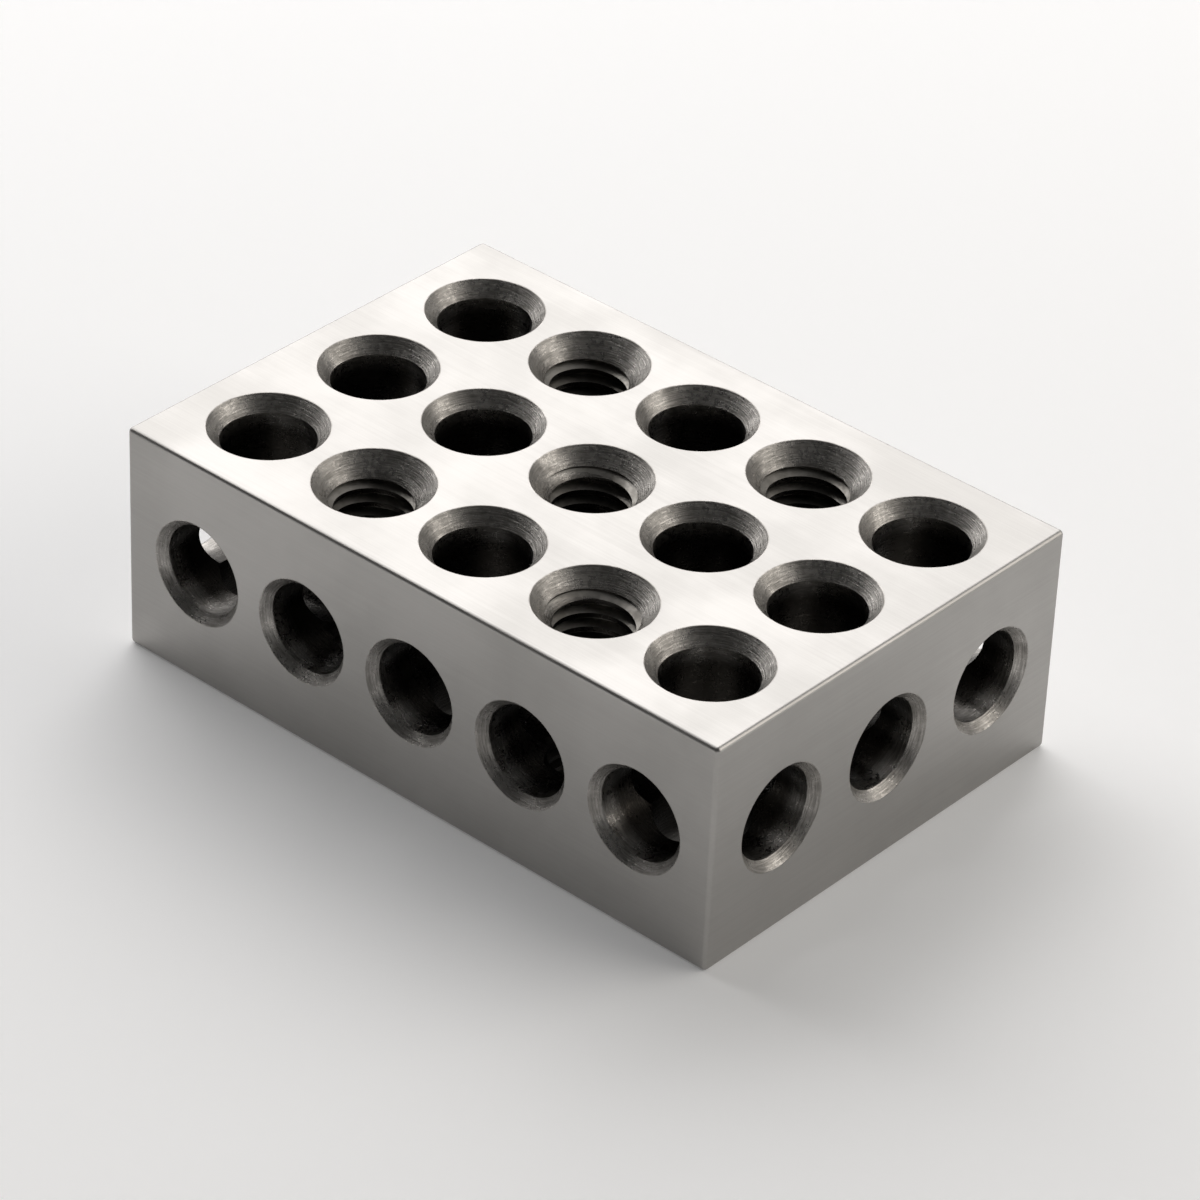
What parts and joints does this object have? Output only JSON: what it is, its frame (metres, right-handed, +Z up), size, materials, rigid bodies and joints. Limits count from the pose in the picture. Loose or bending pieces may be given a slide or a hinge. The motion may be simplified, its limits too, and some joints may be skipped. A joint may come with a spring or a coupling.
{
  "type": "machinist setup block",
  "caption": "Rectangular ground steel setup block with a grid of countersunk through holes, some tapped, on all six faces.",
  "frame": {"origin": "centre of the bottom face", "axes": "+X along the three-inch length, +Y along the two-inch width, +Z up through the one-inch height"},
  "size_m": [0.0762, 0.0508, 0.0254],
  "materials": {
    "ground_steel": "ground"
  },
  "bodies": {
    "root": {"setup_block": "ground_steel"}
  },
  "joints": []
}
